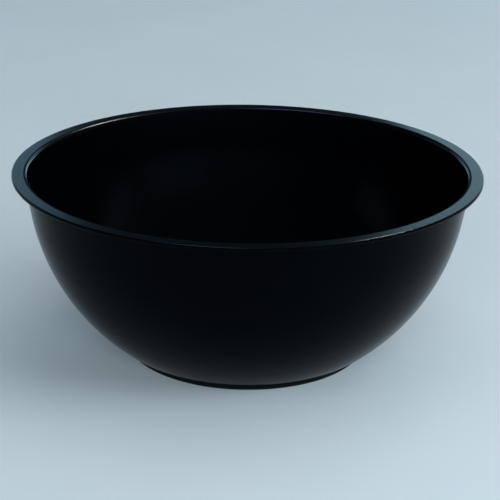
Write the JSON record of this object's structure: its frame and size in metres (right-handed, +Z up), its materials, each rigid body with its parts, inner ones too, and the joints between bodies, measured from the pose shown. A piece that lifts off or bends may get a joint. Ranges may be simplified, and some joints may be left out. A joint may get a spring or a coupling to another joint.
{
  "type": "hair color bowl",
  "caption": "Round-bottomed mixing bowl for hair color with a flat outward rim, standing on a press-fit non-slip rubber ring.",
  "frame": {"origin": "centre of the base, on the surface that the bowl stands on", "axes": "+Z up, along the axis that the bowl is turned about; +X and +Y are alike, because the bowl is round"},
  "size_m": [0.14, 0.14, 0.0568],
  "materials": {
    "bowl_shell": "black polypropylene, moulded to a high gloss",
    "non_slip_ring": "black soft rubber, matte"
  },
  "bodies": {
    "root": {"bowl_shell": "bowl_shell", "non_slip_ring": "non_slip_ring"}
  },
  "joints": []
}
